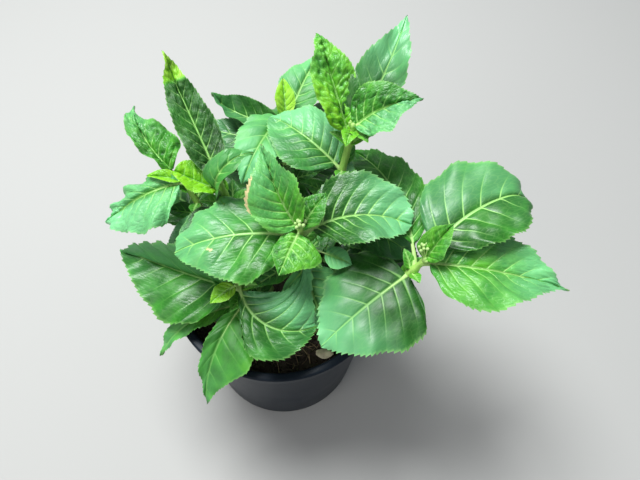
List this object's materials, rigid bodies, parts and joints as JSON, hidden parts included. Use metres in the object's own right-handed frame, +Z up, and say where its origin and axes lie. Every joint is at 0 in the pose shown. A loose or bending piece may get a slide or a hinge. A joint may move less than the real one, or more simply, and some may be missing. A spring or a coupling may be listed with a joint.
{
  "type": "potted hydrangea shrub",
  "caption": "Young leafy hydrangea shrub with several green shoots and no flowers, in a round dark grey plastic nursery pot filled with peat.",
  "frame": {"origin": "centre of the pot's flat underside, where the plant stands", "axes": "+Z up, +X to the right in the picture, towards the longest shoot, +Y to the back of the plant"},
  "size_m": [0.4502, 0.3683, 0.4454],
  "materials": {
    "pot": "satin",
    "soil": "rough",
    "stem": "satin",
    "leaf": "satin"
  },
  "bodies": {
    "root": {"pot": "pot", "potting_soil": "soil", "stem_centre": "stem", "stem_right": "stem", "stem_upper_right": "stem", "stem_left": "stem", "stem_left_centre": "stem", "stem_back": "stem", "stem_front": "stem", "foliage_centre": "leaf", "foliage_right": "leaf", "foliage_upper_right": "leaf", "foliage_left": "leaf", "foliage_left_centre": "leaf", "foliage_back": "leaf", "foliage_front": "leaf"}
  },
  "joints": []
}
